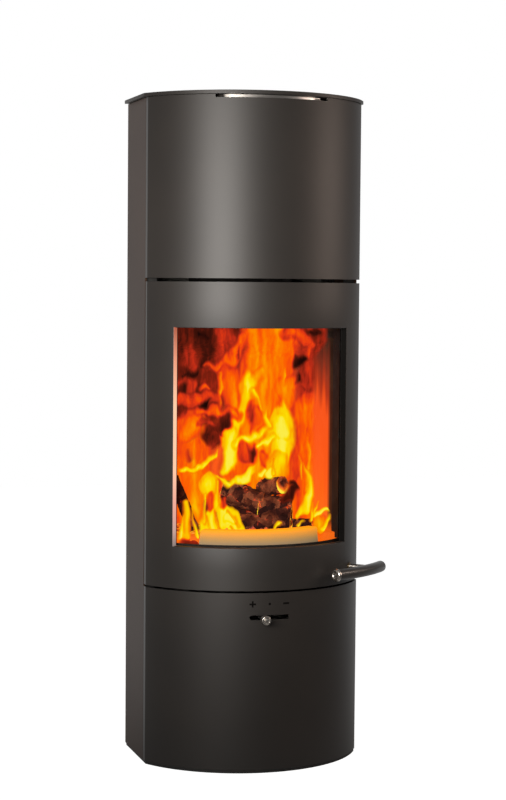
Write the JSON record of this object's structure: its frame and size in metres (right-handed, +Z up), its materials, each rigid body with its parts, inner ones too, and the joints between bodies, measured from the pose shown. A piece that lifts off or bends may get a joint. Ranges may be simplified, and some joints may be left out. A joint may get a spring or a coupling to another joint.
{
  "type": "freestanding wood-burning stove",
  "caption": "Tall round-fronted wood-burning stove with a curved glass fire door, bar handle, air lever, lined firebox, ash pan, heat stones and rear flue collar.",
  "frame": {"origin": "on the floor, on the upright axis that the curved front is struck about", "axes": "+X to the stove's right as seen from the front, -Y to the front, +Z up"},
  "size_m": [0.568, 0.4272, 1.5],
  "materials": {
    "casing": "satin, heat-resistant anthracite paint",
    "rear_sheet": "matt, dark grey",
    "structure": "matt black",
    "firebox_steel": "matt, heat-resistant black",
    "firebrick": "rough, buff",
    "grate_iron": "rough",
    "charred_wood": "charred, split",
    "heat_stone": "sawn, grey",
    "zinc_sheet": "galvanised",
    "bright_sheet": "bright",
    "fasteners": "zinc-plated",
    "polished_steel": "polished",
    "handle_paint": "satin, anthracite",
    "tongue_steel": "plain",
    "bush_brass": "plain",
    "pane": "clear ceramic glass",
    "seal_rope": "braided glass fibre"
  },
  "bodies": {
    "stove_body": {"top_plate": "casing", "upper_front_cover": "casing", "lower_front_cover": "casing", "left_side_panel": "casing", "right_side_panel": "casing", "rear_panel": "rear_sheet", "base_plate": "structure", "front_left_post": "structure", "front_right_post": "structure", "rear_left_post": "structure", "rear_right_post": "structure", "cover_tabs": "structure", "stone_shelf": "structure", "air_box": "structure", "firebox_left_wall": "firebox_steel", "firebox_right_wall": "firebox_steel", "firebox_back_wall": "firebox_steel", "firebox_bottom": "firebox_steel", "firebox_floor": "firebox_steel", "firebox_top": "firebox_steel", "front_frame": "firebox_steel", "smoke_dome": "firebox_steel", "flue_collar": "firebox_steel", "baffle_rails": "firebox_steel", "upper_baffle": "firebox_steel", "hinge_brackets": "firebox_steel", "latch_keeper": "firebox_steel", "left_liner": "firebrick", "right_liner": "firebrick", "back_liner": "firebrick", "floor_bricks": "firebrick", "lower_baffle": "firebrick", "log_retainer": "firebrick", "grate": "grate_iron", "burning_logs": "charred_wood", "heat_stone_1": "heat_stone", "heat_stone_2": "heat_stone", "heat_stone_3": "heat_stone", "heat_deflector": "bright_sheet", "levelling_screws": "fasteners", "rear_panel_screws": "fasteners", "air_pivot_bolt": "fasteners", "hinge_pins": "fasteners"},
    "ash_pan": {"ash_pan": "zinc_sheet"},
    "fire_door": {"door_frame": "casing", "door_hinge_eyes": "firebox_steel", "door_inner_frame": "firebox_steel", "door_glass": "pane", "glass_seal": "seal_rope", "glass_clamps": "zinc_sheet", "clamp_screws": "fasteners", "door_rope": "seal_rope", "handle_bush": "bush_brass"},
    "handle": {"handle_shaft": "polished_steel", "handle_bar": "handle_paint", "handle_end_cap": "polished_steel", "latch_tongue": "tongue_steel"},
    "air_control": {"air_lever": "zinc_sheet", "air_valve_disc": "zinc_sheet", "air_knob": "polished_steel"}
  },
  "joints": [
    {"name": "fire_door_hinge", "type": "hinge", "parent": "stove_body", "child": "fire_door", "pos_m": [-0.235, -0.12802, 0.744], "axis": [0, 0, -1], "range_deg": [0, 100]},
    {"name": "handle_turn", "type": "hinge", "parent": "fire_door", "child": "handle", "pos_m": [0.22641, -0.19682, 0.4405], "axis": [-0.7547, 0.6561, 0], "range_deg": [0, 25]},
    {"name": "air_lever_turn", "type": "hinge", "parent": "stove_body", "child": "air_control", "pos_m": [0, 0, 0.3467], "axis": [0, 0, 1], "range_deg": [-4.2, 10.8]},
    {"name": "ash_pan_slide", "type": "slide", "parent": "stove_body", "child": "ash_pan", "axis": [0, -1, 0], "range_m": [0, 0.08]}
  ]
}
